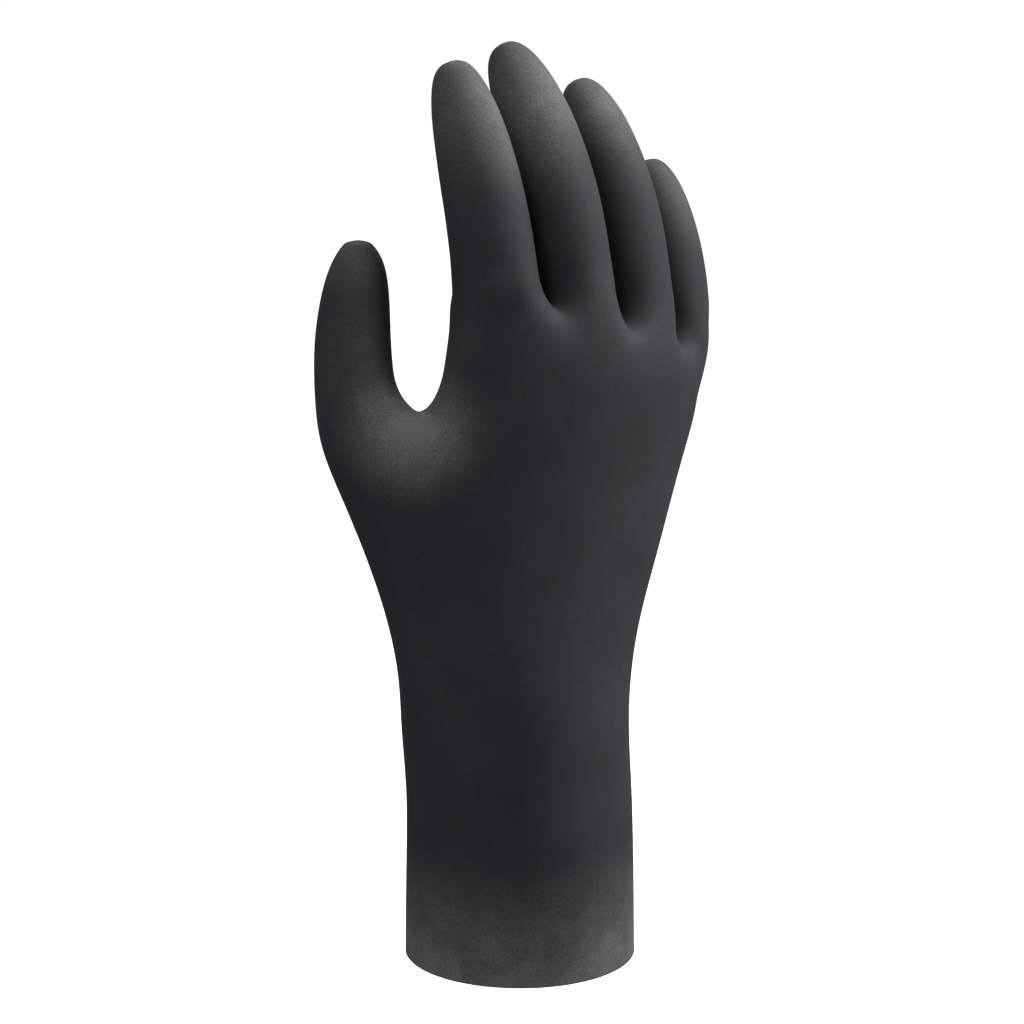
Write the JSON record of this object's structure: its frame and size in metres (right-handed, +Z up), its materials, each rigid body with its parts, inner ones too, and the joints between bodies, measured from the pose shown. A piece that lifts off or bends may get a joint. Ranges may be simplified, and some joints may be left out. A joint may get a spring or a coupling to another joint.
{
  "type": "nitrile exam glove",
  "caption": "Thin unlined nitrile exam glove for the right hand, held in its worn shape with the fingers a little flexed and the cuff open.",
  "frame": {"origin": "middle of the cuff mouth, where the wearer's forearm goes in", "axes": "+Z up from the cuff to the fingertips, +X towards the little finger's side, +Y towards the palm's side, -Y the back of the hand"},
  "size_m": [0.1116, 0.0618, 0.24],
  "materials": {
    "nitrile": "matte charcoal"
  },
  "bodies": {
    "root": {"hand": "nitrile", "thumb": "nitrile", "index_finger": "nitrile", "middle_finger": "nitrile", "ring_finger": "nitrile", "little_finger": "nitrile"}
  },
  "joints": []
}
